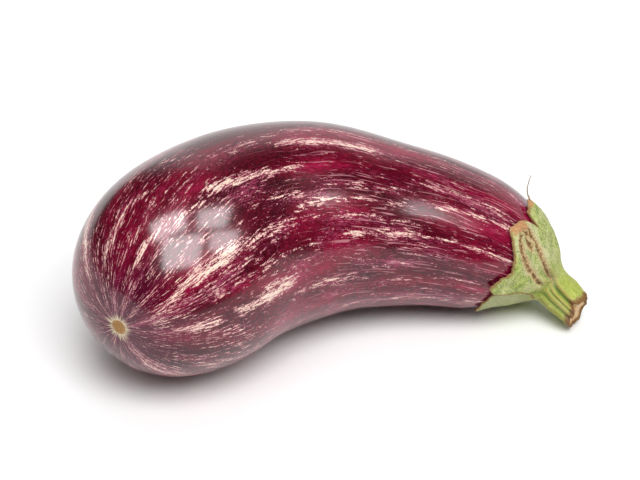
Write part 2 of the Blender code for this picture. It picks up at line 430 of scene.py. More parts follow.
# %% Lay the bands
# where each starts and ends (degrees round the spine, mm from the scar), half width in mm, strength
BANDS = ((37, 6, 42, 13, 2.0, 0.8), (42, 13, 40, 39, 3.0, 1.0), (40, 39, 33, 81, 2.0, 0.7),
         (73, 45, 66, 81, 2.6, 1.0), (66, 81, 66, 99, 2.0, 0.9), (110, 51, 90, 64, 1.5, 0.5),
         (108, 26, 96, 36, 1.5, 0.6), (116, 7, 107, 23, 1.5, 0.5), (86, 5, 79, 19, 1.2, 0.5),
         (79, 19, 70, 39, 1.5, 0.6), (6, 10, 6, 19, 1.8, 0.8), (7, 28, 6, 67, 2.4, 1.0),
         (352, 13, 336, 33, 1.2, 0.4), (84, 92, 84, 132, 1.9, 0.8), (52, 71, 50, 92, 1.7, 0.8),
         (42, 85, 45, 107, 1.9, 1.0), (45, 107, 48, 149, 1.2, 0.8), (39, 51, 37, 99, 1.4, 0.7),
         (25, 114, 30, 156, 1.7, 0.9), (30, 156, 30, 198, 0.8, 0.9), (23, 45, 22, 99, 1.3, 0.7),
         (53, 159, 58, 195, 1.1, 0.9), (67, 149, 68, 185, 1.5, 0.5), (13, 42, 7, 71, 1.6, 0.8),
         (357, 71, 358, 125, 1.3, 0.8), (352, 136, 1, 184, 0.8, 0.8), (8, 139, 7, 156, 1.1, 0.5),
         (300, 4, 310, 40, 1.2, 0.5), (88, 71, 94, 103, 1.4, 0.5), (38, 107, 36, 152, 1.1, 0.5),
         (52, 107, 58, 142, 1.3, 0.5), (96, 100, 100, 160, 1.6, 0.5), (140, 10, 150, 110, 2.2, 0.8),
         (165, 30, 160, 190, 1.8, 0.7), (185, 60, 190, 130, 2.4, 0.9), (205, 10, 215, 90, 1.8, 0.7),
         (225, 80, 220, 195, 1.5, 0.7), (245, 20, 250, 120, 2.0, 0.8), (120, 110, 128, 195, 1.5, 0.7),
         (325, 20, 330, 110, 1.5, 0.5), (330, 120, 335, 195, 1.2, 0.6), (270, 60, 275, 150, 1.8, 0.7))


def pale_bands(along, turn, radius):
    """The strongest band at each place, from 0 to 1."""
    total = np.zeros(len(along))
    place = along / MM
    for first_turn, first, last_turn, last, half_width, strength in BANDS:
        share = np.clip((place - first) / (last - first), 0.0, 1.0)
        drift = (last_turn - first_turn + 180) % 360 - 180
        centre = np.radians(first_turn + drift * share)
        aside = ((turn - centre + math.pi) % math.tau - math.pi) * radius / (half_width * MM)
        ends = ease((place - first) / 8 + 0.6) * ease((last - place) / 8 + 0.6)
        total = np.maximum(total, strength * np.exp(-aside ** 2) * ends)
    return total


from_axis = np.hypot(straight[:, 1], straight[:, 2])
store(fruit, "pale_band", pale_bands(straight[:, 0], direction, from_axis))

# %% [markdown]
# ## Bend the fruit and lay it down
# After the bend, a slow swell of a fraction of a millimetre takes away the lathe's perfection, and
# what reaches below the surface is pressed flat: that is the spot that the fruit rests on.

# %% Bend, swell and rest the fruit
bend(fruit)


def swell(piece, name, size, strength):
    """Push a piece's surface in and out along its normals by soft clouds of one size."""
    clouds = bpy.data.textures.new(name, "CLOUDS")
    clouds.noise_scale = size
    clouds.noise_depth = 1
    modifier = piece.modifiers.new(name, "DISPLACE")
    modifier.texture = clouds
    modifier.texture_coords = "LOCAL"
    modifier.strength = strength
    modifier.mid_level = 0.5
    apply_modifiers(piece)


swell(fruit, "slow_swell", 55 * MM, 1.0 * MM)


def press_flat(piece):
    """Flatten what lies below the surface onto it."""
    pick(piece)
    bpy.ops.object.mode_set(mode="EDIT")
    bpy.ops.mesh.select_all(action="DESELECT")
    bpy.ops.object.mode_set(mode="OBJECT")
    points = read_points(piece)
    piece.data.vertices.foreach_set("select", points[:, 2] < 0.0)
    bpy.ops.object.mode_set(mode="EDIT")
    bpy.ops.transform.resize(value=(1, 1, 0), center_override=(0, 0, 0))
    bpy.ops.object.mode_set(mode="OBJECT")
    return int((points[:, 2] < 0.0).sum())


print("pressed flat:", press_flat(fruit), "vertices")
fruit.data.shade_smooth()
low = read_points(fruit).min(axis=0)
high = read_points(fruit).max(axis=0)
print("bent fruit is off its CAD box by", np.round((low - fruit_low) / MM, 1), "and",
      np.round((high - fruit_high) / MM, 1), "mm")

# %% [markdown]
# ## The skin: waxed eggplant skin, crimson purple with unpigmented streaks
# Pigment sits in the skin's outer cells and is missing in streaks along the fruit, which show the
# cream flesh colour, pink where a little pigment is left. A natural wax makes it glossy but not a
# mirror. Streaks are noise drawn out along the skin: about 0.8 mm wide and 8 mm long, ragged by finer
# octaves, gathered by the bands, and broken by dark flecks of half a millimetre.

# %% Waxed skin
def waxed_skin():
    """Glossy crimson skin with cream streaks, and the scar at its blossom end."""
    material, tree, shader = new_material("waxed_eggplant_skin")
    place = attribute(tree, "skin_place", "Vector")
    band = attribute(tree, "pale_band")
    scar = attribute(tree, "from_scar")

    # a waver in every line: sideways by a millimetre or two over 24 mm, and by 0.3 mm over 2 mm
    wave = noise(tree, place, (24 * MM, 10 * MM, 10 * MM), 1.0, 0.5, "Color")
    rag = noise(tree, place, (2.0 * MM, 1.2 * MM, 1.2 * MM), 2.0, 0.6, "Color")
    wave = add_node(tree, "VectorMath", {"operation": "MULTIPLY_ADD"}, _0=wave,
                    _1=(0.0, 4 * MM, 4 * MM), _2=place).outputs[0]
    warped = add_node(tree, "VectorMath", {"operation": "MULTIPLY_ADD"}, _0=rag,
                      _1=(1.6 * MM, 0.9 * MM, 0.9 * MM), _2=wave).outputs[0]

    # pigment: crimson where it is thin, dark where it is thick, purple towards the scar
    depth = noise(tree, place, (60 * MM, 14 * MM, 14 * MM), 2.0, 0.5)
    grain = noise(tree, warped, (2.4 * MM, 0.6 * MM, 0.6 * MM), 3.0, 0.65)
    tone = weighted(tree, grain, 0.8, depth)
    pigment = ramp(tree, step_between(tree, tone, 0.70, 1.12, False),
                   [(0.0, "#36010d"), (0.4, "#510217"), (0.7, "#6c0422"), (1.0, "#8c0b37")])
    pigment = coat(tree, step_between(tree, scar, 40 * MM, 4 * MM), pigment, "#4b0526")

    # fine pink streaklets everywhere, 0.4 mm wide and 3 mm long, that thin out in places
    gather = noise(tree, place, (40 * MM, 8 * MM, 8 * MM), 1.0)
    hair = noise(tree, warped, (3.0 * MM, 0.36 * MM, 0.36 * MM), 3.0, 0.7)
    hair = weighted(tree, gather, 0.55, weighted(tree, band, 0.12, hair))
    hair = times(tree, step_between(tree, hair, 0.84, 0.96), 0.5)
    colour = coat(tree, hair, pigment, "#b0486c")

    # cream streaks, 0.8 mm wide and 8 mm long, crowded in the bands and sparser towards the neck
    streak = noise(tree, warped, (8 * MM, 0.8 * MM, 0.8 * MM), 5.0, 0.68)
    crowd = weighted(tree, band, 0.188, weighted(tree, gather, 0.2, streak))
    crowd = weighted(tree, crowd, 1.0, 0.016)
    crowd = weighted(tree, step_between(tree, scar, 50 * MM, 105 * MM), -0.05, crowd)
    fleck = noise(tree, warped, (1.3 * MM, 0.42 * MM, 0.42 * MM), 2.0, 0.6)
    fleck = step_between(tree, fleck, 0.50, 0.62)
    level = weighted(tree, fleck, -0.115, crowd)
    pale = ramp(tree, step_between(tree, level, 0.68, 0.785, False),
                [(0.0, "#a83c5e"), (0.25, "#c98a92"), (0.6, "#dcb6a8"), (1.0, "#ecd5c3")])
    colour = blend(tree, step_between(tree, level, 0.672, 0.695), colour, pale)

    # long thin lines towards the neck, under a millimetre wide
    line = noise(tree, wave, (24 * MM, 0.75 * MM, 0.75 * MM), 2.0, 0.55)
    line = step_between(tree, line, 0.60, 0.68)
    line = times(tree, line, step_between(tree, scar, 90 * MM, 150 * MM))
    colour = coat(tree, times(tree, line, 0.6), colour, "#cf8f98")

    # the cream star round the scar, and then its brown cork
    rays = noise(tree, place, (30 * MM, 3.2 * MM, 3.2 * MM), 2.0, 0.6)
    reach = weighted(tree, rays, -10 * MM, scar)
    star = step_between(tree, reach, 0.8 * MM, -2.4 * MM)
    colour = coat(tree, star, colour, "#d9c9a6")
    cork = noise(tree, place, 0.8 * MM, 3.0, 0.65)
    cork_colour = ramp(tree, cork, [(0.38, "#5c3a18"), (0.5, "#9b6c30"), (0.62, "#c99e5e")])
    colour = blend(tree, step_between(tree, scar, 3.4 * MM, 2.9 * MM), colour, cork_colour)
    tree.links.new(colour, shader.inputs["Base Color"])

    matt = weighted(tree, grain, 0.08, 0.14)
    corky = step_between(tree, scar, 3.0 * MM, 2.2 * MM)
    rough = add_node(tree, "Mix", {"data_type": "FLOAT"}, _0=corky, _2=matt, _3=0.75).outputs[0]
    tree.links.new(rough, shader.inputs["Roughness"])
    shader.inputs["IOR"].default_value = 1.54

    # wax over cells: dimples under a millimetre wide, a few microns deep
    dimple = noise(tree, place, (0.9 * MM, 0.6 * MM, 0.6 * MM), 2.0, 0.6)
    bump = add_node(tree, "Bump", Strength=0.3, Distance=0.02 * MM, Height=dimple)
    tree.links.new(bump.outputs[0], shader.inputs["Normal"])
    return material


fruit.data.materials.clear()
fruit.data.materials.append(waxed_skin())
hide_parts("fruit")
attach(fruit, "root")

# %% [markdown]
# ## The calyx and the stalk, laid on a ruler tube
# On the plant these are one growth: the stalk widens and opens out over the neck as pointed sepals.
# Each is first a plain ruler tube, turned ring by ring, whose length only counts the stops of the
# journey (hidden seat, flare, outer side, margin, skin side). Each point is then laid where its stop
# and its direction put it. A tube gives even, closed faces, and the sepals' outline is free.

# %% The neck's profile
SKIN_GAP = 0.35 * MM
NECK_ROLLER = 20 * MM
neck_at = np.linspace(true_length, true_length - 60 * MM, 1200)
neck_radius = radius_at(neck_at)
neck_reach = np.concatenate([[0.0], np.cumsum(np.hypot(np.diff(neck_at), np.diff(neck_radius)))])
neck_facing = np.column_stack([-np.gradient(neck_radius), np.gradient(neck_at)])
neck_facing = neck_facing / np.linalg.norm(neck_facing, axis=1)[:, None]
neck_facing = neck_facing * np.sign(neck_facing[-1] @ (0.0, 1.0))
neck_facing[0] = (1.0, 0.0)


def over_neck(reach, off):
    """Distance along and radius of a point off the skin, at a reach of skin from the neck's end."""
    out_along = np.interp(reach, neck_reach, neck_facing[:, 0])
    out_round = np.interp(reach, neck_reach, neck_facing[:, 1])
    return (np.interp(reach, neck_reach, neck_at) + out_along * off,
            np.interp(reach, neck_reach, neck_radius) + out_round * off)


# %% [markdown]
# Six sepals of unequal reach. The outline lists directions and reaches of tips, shoulders and notches.
# It is joined by straight margins and then frayed by up to half a millimetre, since sepal margins are
# torn and dried.

# %% The sepals' outline
# direction round the neck in degrees, reach from the neck's end in mm
OUTLINE = ((-75, 27), (-58, 31), (-41, 37), (-30, 36.2), (-18, 35), (-8, 33.8), (-4, 35.5), (-1, 37),
           (3, 36.6), (12, 34.4), (15.5, 32.3), (21, 31.6), (28, 32), (34, 33.2), (40, 34.4), (48, 36.9),
           (54, 38.6), (58, 39), (66, 36.8), (73, 34.6), (76.5, 31), (78.5, 27.2), (80.5, 31), (84, 34.2),
           (90, 35.2), (96, 36), (103, 34), (116, 30), (130, 26.5), (135, 26), (143, 28), (155, 33),
           (165, 34.5), (176, 32), (190, 27), (200, 26), (210, 27.5), (226, 32.5), (238, 34.5), (249, 32.5),
           (270, 28.0), (285, 27))


def reach_of(degrees):
    """Reach of the calyx, in metres, in a direction round the neck."""
    directions, reaches = np.array(OUTLINE, dtype=float).T
    directions = np.append(directions, directions[0] + 360.0)
    reaches = np.append(reaches, reaches[0])
    wrapped = (degrees - directions[0]) % 360.0 + directions[0]
    torn = (0.22 * np.sin(wrapped * 0.47 + 1.0) + 0.16 * np.sin(wrapped * 1.13)
            + 0.10 * np.sin(wrapped * 2.31 + 2.0))
    return (np.interp(wrapped, directions, reaches) + torn) * MM


# %% [markdown]
# Cracks opened as the calyx stopped growing and the neck went on. They are drawn as lines over the
# neck, and every point of the calyx keeps its distance to the nearest one.

# %% Cracks and folds
# direction in degrees and reach in mm of each line's points
CRACKS = (((56, 34.5), (50, 33.2), (45.5, 32), (40, 29.5), (35.5, 27), (31, 24), (28, 21), (22, 18),
           (17, 14)),
          ((67, 32.5), (62, 28.5), (57, 25), (50, 20), (43, 15), (38, 11)),
          ((57, 32.5), (54, 29.5), (51, 27)),
          ((61, 34.5), (62, 31.5), (60.5, 29)))
SEAM = ((-8, 34.5), (-5, 30), (-4, 27), (-1, 24.5), (0, 22), (-3, 18), (-10, 14.5), (-22, 12), (-39, 10))


def ring_points(along, radius, degrees):
    """Points before the bend: along the axis, and at a radius in a direction round it."""
    turn = np.radians(degrees)
    return np.column_stack([along, -radius * np.cos(turn), radius * np.sin(turn)])


def rolled_out(along, degrees):
    """Places on a roller of one radius, for patterns that run along the rind."""
    turn = np.radians(degrees)
    return np.column_stack([along, NECK_ROLLER * np.cos(turn), NECK_ROLLER * np.sin(turn)])


def laid(degrees, reach, off):
    """Points over the neck, before the bend."""
    along, radius = over_neck(reach, off)
    return ring_points(along, radius, degrees)


def distance_to_line(points, line):
    """Distance of each point to a line that is drawn over the neck, and how far along the line it is."""
    stops = np.array(line, dtype=float)
    steps = np.linspace(0.0, len(stops) - 1, 24 * len(stops))
    degrees = np.interp(steps, range(len(stops)), stops[:, 0])
    reach = np.interp(steps, range(len(stops)), stops[:, 1]) * MM
    drawn = laid(degrees, reach, 2.0 * MM)
    nearest = np.full(len(points), 1.0)
    share = np.zeros(len(points))
    for count, spot in enumerate(drawn):
        gap = np.linalg.norm(points - spot, axis=1)
        share = np.where(gap < nearest, count / len(drawn), share)
        nearest = np.minimum(nearest, gap)
    return nearest, share


def bell(value, width):
    """1 at 0, falling off evenly on both sides."""
    return np.exp(-(value / width) ** 2)


def wander(points, size, seed, layers=2):
    """Soft random swells, from -1 to 1, over lumps of one size."""
    shift = Vector((seed * 7.3, seed * 3.1, seed * 5.7))
    return np.array([fractal(Vector(point) / size + shift, 1.0, 2.0, layers) for point in points])


# %% [markdown]
# The stalk's section has ridges and grooves where its strands run: a broad flat face on top, a deep
# groove beside it and narrow ridges below that. The grooves run on into the calyx and fade there.

# %% The stalk's section
STALK_TIP = true_length + 17.9 * MM
SEAT = true_length + 8.0 * MM
# direction in degrees, depth in mm, half width in degrees
GROOVES = ((-4, 0.75, 6), (17, 0.4, 4), (37, 1.15, 6.5), (100, 0.22, 5), (150, 0.9, 8), (198, 0.8, 8),
           (246, 0.9, 8), (300, 0.8, 8), (330, 0.35, 5))
RIDGES = ((-24, 0.45, 9), (10, 0.25, 5), (25, 0.35, 5), (47, 0.35, 6), (78, -0.25, 18), (122, 0.3, 9))


def round_gap(degrees, centre):
    """The way round from one direction to others, from -180 to 180 degrees."""
    return (degrees - centre + 180.0) % 360.0 - 180.0


def section(degrees):
    """How far the stalk's surface stands in or out of a round rod."""
    total = np.zeros(len(degrees))
    for centre, depth, width in GROOVES:
        total = total - depth * bell(round_gap(degrees, centre), width)
    for centre, rise, width in RIDGES:
        total = total + rise * bell(round_gap(degrees, centre), width)
    return total * MM


def stalk_radius(along, degrees):
    """The stalk's radius, which falls a little towards its cut."""
    share = (along - SEAT) / (STALK_TIP - SEAT)
    return (8.3 - 1.2 * np.clip(share, -0.2, 1.1)) * MM + section(degrees)


def stalk_end(degrees):
    """The slanting, torn cut: nearer at the top, with a bite where the deep groove meets it."""
    slant = 1.9 * np.cos(np.radians(degrees + 55.0))
    bite = 2.2 * bell(round_gap(degrees, 40.0), 9.0) + 0.8 * bell(round_gap(degrees, -5.0), 6.0)
    torn = 0.35 * np.sin(np.radians(degrees * 5 + 20)) + 0.10 * np.sin(np.radians(degrees * 13 + 40))
    return STALK_TIP + (slant - bite + torn) * MM


# %% [markdown]
# The stalk leans away from the neck's own line, so what lies beyond the neck is bowed towards it over
# a short arc. The lean is worked out from the stalk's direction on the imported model.

# %% Bow beyond the neck
STALK_HEADING = -66.0
STALK_DROOP = 24.0
STALK_ASIDE = np.array((0.0, -3.1, -1.0)) * MM
BOW_START = true_length - 1.5 * MM
BOW_ARC = 9 * MM


def stalk_lean():
    """The bow's angle, and its direction across the straight neck."""
    droop = math.radians(STALK_DROOP)
    grow = towards(STALK_HEADING) * math.cos(droop) - Vector((0.0, 0.0, math.sin(droop)))
    onward = Vector(spine[-1] - spine[-3]).normalized()
    level = onward.cross(Vector((0.0, 0.0, 1.0))).normalized()
    up = level.cross(onward)
    side = np.array([0.0, -grow.dot(level), grow.dot(up)])
    return math.acos(grow.dot(onward)), side / np.linalg.norm(side)


lean, lean_side = stalk_lean()
print("the stalk leans", round(math.degrees(lean), 1), "degrees from the neck's line")
stalk_line = np.array([math.cos(lean), 0.0, 0.0]) + lean_side * math.sin(lean)


def bow(points):
    """Bow the points that lie beyond the neck towards the stalk's line, and set them aside."""
    past = points[:, 0] - BOW_START
    angle = np.clip(past / BOW_ARC, 0.0, 1.0) * lean
    arm = BOW_ARC / lean
    beyond = np.maximum(past - BOW_ARC, 0.0)
    aside = points @ lean_side
    rest = points - np.outer(aside, lean_side)
    moved_along = BOW_START + arm * np.sin(angle) + beyond * np.cos(angle) - aside * np.sin(angle)
    moved_aside = arm * (1.0 - np.cos(angle)) + beyond * np.sin(angle) + aside * np.cos(angle)
    moved = np.outer(moved_aside, lean_side) + rest
    moved[:, 0] = moved_along
    return moved + STALK_ASIDE


# %% A ruler tube
def ruler_tube(name, sides, stops):
    """A closed tube of unit radius whose X counts stops, cut four times as fine in both directions."""
    last = stops + 1.0
    rings = [(float(stop), 1.0) for stop in range(1, stops + 1)]
    tube = turn_tube(name, sides, [(0.0, 0.05)] + rings + [(last, 0.05)])
    finer = tube.modifiers.new("finer", "SUBSURF")
    finer.subdivision_type = "SIMPLE"
    finer.levels = finer.render_levels = 2
    apply_modifiers(tube)
    return tube


def ruled(tube):
    """Each point's stop on the ruler, its direction in degrees, and its distance from the axis."""
    points = read_points(tube)
    return points[:, 0], np.degrees(round_spine(points)), np.hypot(points[:, 1], points[:, 2])


# %% [markdown]
# ## The calyx
# A leathery cap 1.7 mm thick at its middle and 1 mm at its margin. The outer side carries a raised
# midrib on each sepal, the folds and the cracks. Near its margin it lifts off the skin, most of all at
# the dry tips, which leaves the dark line that real sepals have under them.

# %% Lay the calyx
FLARE_STOP, OUTER_STOP, MARGIN_STOP, INNER_STOP, CALYX_STOPS = 2, 5, 22, 23, 27
FIRST_REACH = 13 * MM
MIDDLE_THICKNESS = 1.7 * MM
THINS_BY = 0.7 * MM
LEAST_THICKNESS = 0.5 * MM
MIDRIBS = (-38, -2, 60, 98, 165, 238)
# where the margin lifts off the skin: direction in degrees, height in mm, half width in degrees
LIFTS = ((96, 1.6, 8), (-1, 0.5, 7), (62, 0.5, 9), (-41, 0.9, 8), (165, 0.8, 10), (238, 0.8, 10))


def calyx_relief(degrees, reach, points):
    """Ribs, grooves and cracks of the outer side, as a height, and how cracked each point is."""
    inward = 1.0 - np.clip((reach - FIRST_REACH) / (20 * MM), 0.0, 1.0)
    arm = np.interp(reach, neck_reach, neck_radius)
    relief = section(degrees) * inward ** 1.5 * 0.8
    for direction in MIDRIBS:
        aside = np.radians(round_gap(degrees, direction)) * arm
        relief = relief + 0.35 * MM * bell(aside, 2.2 * MM)
    cracked = np.zeros(len(degrees))
    torn = wander(points, 1.6 * MM, 11) * 0.6 * MM - 0.2 * MM
    for line in CRACKS:
        gap, share = distance_to_line(points, line)
        half_width = (0.55 + 1.0 * np.sin(math.pi * np.clip(share, 0.02, 0.98)) ** 0.8) * MM
        wide = bell(np.maximum(gap + torn, 0.0), half_width)
        relief = relief - 0.9 * MM * wide + 0.5 * MM * bell(gap - half_width - 0.7 * MM, 0.7 * MM)
        cracked = np.maximum(cracked, np.maximum(wide, 0.28 * bell(gap, 2.6 * MM)))
    return relief, cracked


def margin_lift(degrees, from_rim):
    """How far the calyx lifts off the fruit near its margin."""
    near_rim = ease(1.0 - from_rim / (9 * MM))
    lift = near_rim ** 2 * (0.35 + 0.35 * np.sin(np.radians(degrees * 3 + 20))) * MM
    tips = sum(height * bell(round_gap(degrees, centre), width) for centre, height, width in LIFTS)
    return lift + near_rim * MM * tips


def flare_points(share, degrees, reach, off, seat_ring):
    """The flare from the stalk's seat to the outer side, a curve with a handle at each end."""
    foot = laid(degrees, reach, off)
    inward = laid(degrees, reach - 1 * MM, off) - foot
    inward = inward / np.linalg.norm(inward, axis=1)[:, None]
    hug = ease((1.0 + np.cos(np.radians(degrees - 130.0))) / 2.0)[:, None]
    near = seat_ring - stalk_line * (5.0 - 1.5 * hug) * MM
    far = foot + inward * (4.0 + 4.0 * hug) * MM
    return ((1 - share) ** 3 * seat_ring + 3 * (1 - share) ** 2 * share * near
            + 3 * (1 - share) * share ** 2 * far + share ** 3 * foot)


def lay_calyx():
    """The calyx, from its hidden seat over the flare and the sepals to the skin side."""
    tube = ruler_tube("calyx_skin", 120, CALYX_STOPS)
    stop, degrees, ruler_radius = ruled(tube)
    rim = reach_of(degrees)
    outer_share = np.clip((stop - OUTER_STOP) / (MARGIN_STOP - OUTER_STOP), 0.0, 1.0)
    inner_share = np.clip((stop - INNER_STOP) / (CALYX_STOPS - INNER_STOP), 0.0, 1.0)
    is_inner = stop > MARGIN_STOP + 0.5
    is_flare = stop < OUTER_STOP
    flare_reach = FIRST_REACH - 3.0 * MM * ease((1.0 + np.cos(np.radians(degrees - 120.0))) / 2.0)
    reach = np.where(is_inner, rim + (FIRST_REACH * 0.8 - rim) * inner_share,
                     flare_reach + (rim - flare_reach) * outer_share)
    from_rim = rim - reach

    # the outer side
    base = laid(degrees, reach, 2.0 * MM)
    relief, cracked = calyx_relief(degrees, reach, base)
    swells = wander(base, 4.5 * MM, 1)
    grain = wander(base, 1.1 * MM, 2)
    seam = distance_to_line(base, SEAM)[0]
    below_seam = ease((-4.0 - degrees) / 6.0) * ease((degrees + 75.0) / 20.0)
    below_seam = below_seam * ease((reach - 12 * MM) / (4 * MM))
    relief = relief + 0.28 * MM * swells + 0.09 * MM * grain - 0.75 * MM * below_seam
    relief = relief + 0.35 * MM * bell(seam, 0.7 * MM)
    thickness = MIDDLE_THICKNESS - THINS_BY * ease((reach - FIRST_REACH) / (22 * MM))
    thickness = thickness + relief * np.clip(from_rim / (1.5 * MM), 0.25, 1.0)
    inner_off = SKIN_GAP + margin_lift(degrees, from_rim)
    outer_off = inner_off + np.maximum(thickness, LEAST_THICKNESS)

    # round the margin, from the outer side to the skin side
    swing = np.clip(stop - MARGIN_STOP, 0.0, 1.0) * math.pi
    off = inner_off + (outer_off - inner_off) * (1.0 + np.cos(swing)) / 2.0
    along, radius = over_neck(reach + np.sin(swing) * (outer_off - inner_off) * 0.5, off)
    points = ring_points(along, radius, degrees)

    # the flare
    flare = np.clip((stop - FLARE_STOP) / (OUTER_STOP - FLARE_STOP), 0.0, 1.0)
    seat_along = np.full(len(stop), SEAT)
    seat_ring = bow(ring_points(seat_along, stalk_radius(seat_along, degrees), degrees))
    curve = flare_points(flare[:, None], degrees, flare_reach, outer_off, seat_ring)
    points = np.where(is_flare[:, None], curve, points)

    # the two hidden ends
    seat_middle = bow(np.array([[SEAT, 0.0, 0.0]]))
    seat_arm = seat_ring - seat_middle
    seat = np.clip(stop - 1.0, 0.0, 1.0)[:, None]
    points = np.where((stop < FLARE_STOP)[:, None], seat_middle + seat_arm * (0.05 + 0.95 * seat), points)
    core = (ruler_radius * np.clip(stop, 0.05, 1.0) * 0.05)[:, None]
    points = np.where((stop < 1.0)[:, None], seat_middle + seat_arm * core, points)
    closing = np.clip(stop - CALYX_STOPS, 0.0, 1.0)[:, None]
    pole = np.array([[true_length + SKIN_GAP, 0.0, 0.0]])
    points = np.where((stop > CALYX_STOPS)[:, None], points + (pole - points) * closing * 0.98, points)
    write_points(tube, points)

    # what the material reads
    grown = np.where(is_flare, FIRST_REACH - (1 - flare) * 12 * MM, reach)
    store(tube, "growth_place", rolled_out(grown, degrees))
    store(tube, "from_margin", np.where(is_inner, 0.0, np.where(is_flare, 20 * MM, from_rim)))
    store(tube, "cracked", np.where(is_inner, 0.0, np.where(is_flare, cracked * flare, cracked)))
    tan = bell(round_gap(degrees, 62), 11) * ease(1.0 - (from_rim - 1 * MM) / (6 * MM))
    brown = bell(round_gap(degrees, 96), 7) * ease(1.0 - from_rim / (3.5 * MM))
    store(tube, "dry_tip", np.where(is_inner | is_flare, 0.0, np.maximum(tan, brown)))
    store(tube, "grey", np.where(is_flare, 0.0, below_seam))
    store(tube, "seam", np.where(is_inner | is_flare, 0.0, bell(seam, 0.5 * MM)))
    fading = 0.5 * (1.0 - ease((reach - FIRST_REACH) / (9 * MM)))
    strands_and_groove_shade(tube, degrees, np.where(is_flare, 1.0 - 0.5 * flare, fading))
    store(tube, "cut_face", np.zeros(len(stop)))
    store(tube, "cut_near", np.zeros(len(stop)))
    return tube


def strands_and_groove_shade(tube, degrees, share):
    """Keep how much each point lies in a groove, where the rind paints shade, on a ridge and on the stalk.
    """
    groove = np.zeros(len(degrees))
    for centre, depth, width in GROOVES:
        groove = np.maximum(groove, min(depth, 1.0) * bell(round_gap(degrees, centre), width * 0.8))
    ridge = np.zeros(len(degrees))
    for centre, rise, width in RIDGES:
        if rise > 0:
            ridge = np.maximum(ridge, bell(round_gap(degrees, centre), width * 0.6))
    # the groove share is painted shade: the deeper a groove, the darker the rind paints it
    store(tube, "groove", groove * share)
    store(tube, "ridge", ridge * share)
    store(tube, "stalky", share)


calyx = lay_calyx()

# %% [markdown]
# ## The stalk
# A short rod from the flare to where it was snapped off, with a torn rim and a pale woody face.

# %% Lay the stalk
RIM_STOP, STALK_STOPS = 12, 17
BROWN_LENGTH = 5.5 * MM


def lay_stalk():
    """The stalk, from its hidden seat to the sunken face of its cut."""
    tube = ruler_tube("stalk_rod", 96, STALK_STOPS)
    stop, degrees, ruler_radius = ruled(tube)
    end = stalk_end(degrees)
    along_share = np.clip((stop - 1.0) / (RIM_STOP - 1.0), 0.0, 1.0)
    face = np.clip((stop - RIM_STOP) / (STALK_STOPS - RIM_STOP), 0.0, 1.0)
    along = SEAT + (end - SEAT) * along_share
    radius = stalk_radius(along, degrees)
    rounding = ease((along_share - 0.93) / 0.07)
    radius = radius - 0.35 * MM * rounding
    base = ring_points(along, radius, degrees)
    rough = (0.16 * wander(base, 3.0 * MM, 5) + 0.07 * wander(base, 0.9 * MM, 6)) * MM
    radius = radius + rough * np.where(stop > 1.0, 1.0, 0.0) * ease(along_share * 8)
    sunk = 1.0 * MM * ease(face * 5.0) + 0.25 * MM * wander(base, 1.5 * MM, 7) * ease(face * 6)
    middle = STALK_TIP - 0.9 * MM
    along = np.where(face > 0.0, (end - sunk) * (1 - face) + (middle - sunk * 0.3) * face, along)
    radius = np.where(face > 0.0, radius * (1.0 - 0.95 * face), radius)
    radius = np.where(stop < 1.0, radius * (0.05 + 0.95 * np.clip(stop, 0.0, 1.0)), radius)
    radius = np.where((stop > STALK_STOPS) | (stop <= 0.0), radius * ruler_radius, radius)
    write_points(tube, bow(ring_points(along, radius, degrees)))
    store(tube, "growth_place", rolled_out(true_length + 1 * MM - along, degrees))
    store(tube, "from_margin", np.full(len(stop), 20 * MM))
    for name in ("cracked", "dry_tip", "grey", "seam"):
        store(tube, name, np.zeros(len(stop)))
    strands_and_groove_shade(tube, degrees, np.where(face > 0.0, 0.0, 1.0))
    store(tube, "cut_face", np.where(face > 0.0, 0.3 + 0.7 * face, 0.0))
    store(tube, "cut_near", np.where(face > 0.0, 1.0, ease((along - end + BROWN_LENGTH) / BROWN_LENGTH)))
    return tube


stalk = lay_stalk()
SHARP_DEGREES = 55
for piece in (calyx, stalk):
    bend(piece)
    pick(piece)
    bpy.ops.object.shade_smooth_by_angle(angle=math.radians(SHARP_DEGREES))
print("calyx and stalk have", len(calyx.data.polygons), "and", len(stalk.data.polygons), "faces")
